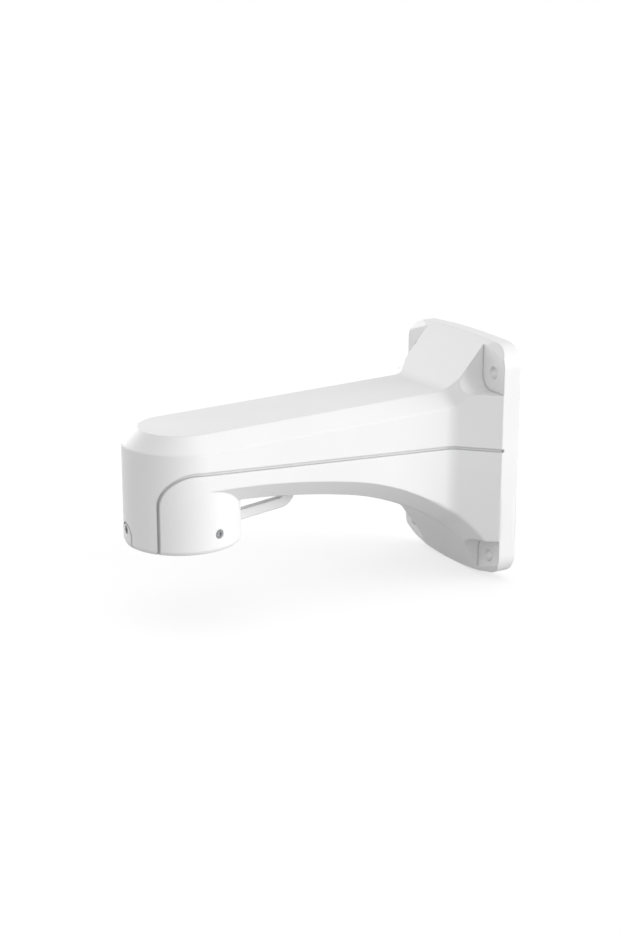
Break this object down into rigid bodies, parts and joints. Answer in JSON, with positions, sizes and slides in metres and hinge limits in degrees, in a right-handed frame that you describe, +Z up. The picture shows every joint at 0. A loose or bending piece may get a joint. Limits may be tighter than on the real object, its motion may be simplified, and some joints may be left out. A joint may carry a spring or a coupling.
{
  "type": "camera wall bracket",
  "caption": "White die-cast wall bracket: a bolted plate, a hollow arched arm and a downward round collar that takes a security camera.",
  "frame": {"origin": "centre of the four wall bolts, on the plane of the plate's back face", "axes": "+Y into the wall, the arm runs along -Y, +Z up, +X to the right for someone who faces the wall"},
  "size_m": [0.134, 0.3009, 0.193],
  "materials": {
    "casting": "white powder coat on an aluminium casting",
    "screw": "stainless socket set screw"
  },
  "bodies": {
    "root": {"bracket_casting": "casting", "collar_set_screw_front": "screw", "collar_set_screw_right": "screw", "collar_set_screw_left": "screw"}
  },
  "joints": []
}
